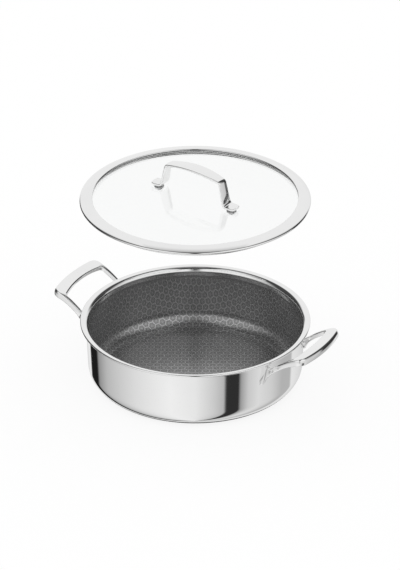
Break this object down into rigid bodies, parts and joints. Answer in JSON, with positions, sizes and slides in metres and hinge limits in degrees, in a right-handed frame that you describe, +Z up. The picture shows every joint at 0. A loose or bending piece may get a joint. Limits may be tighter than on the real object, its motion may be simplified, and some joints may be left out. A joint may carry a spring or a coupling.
{
  "type": "pilaf pot with lid",
  "caption": "Wide low clad-steel pot with a flared pouring rim, coated inside, with welded loop handles and a framed glass lid that lifts straight off.",
  "frame": {"origin": "centre of the pot's flat base", "axes": "+Z up, the way the lid lifts off; +X through the middles of the two side handles"},
  "size_m": [0.389, 0.301, 0.3086],
  "materials": {
    "polished_steel": "mirror-polished stainless steel",
    "fastener_steel": "satin stainless steel",
    "aluminium": "bonded core, not seen",
    "coated_steel": "dark non-stick coating between raised steel honeycomb lines, bright steel at the rim",
    "clear_glass": "clear tempered glass",
    "silicone": "grey silicone"
  },
  "bodies": {
    "pot": {"pot_outer_shell": "polished_steel", "pot_aluminium_core": "aluminium", "pot_inner_liner": "coated_steel", "side_handle_left": "polished_steel", "side_handle_right": "polished_steel"},
    "lid": {"lid_glass": "clear_glass", "lid_rim_ring": "polished_steel", "lid_glass_seal": "silicone", "lid_handle": "polished_steel", "lid_screw_left": "fastener_steel", "lid_screw_right": "fastener_steel", "lid_washer_left": "fastener_steel", "lid_washer_right": "fastener_steel", "lid_lower_gasket_left": "silicone", "lid_lower_gasket_right": "silicone", "lid_upper_gasket_left": "silicone", "lid_upper_gasket_right": "silicone"}
  },
  "joints": [
    {"name": "lid_lift", "type": "slide", "parent": "pot", "child": "lid", "axis": [0, 0, 1], "range_m": [-0.175, 0.05]}
  ]
}
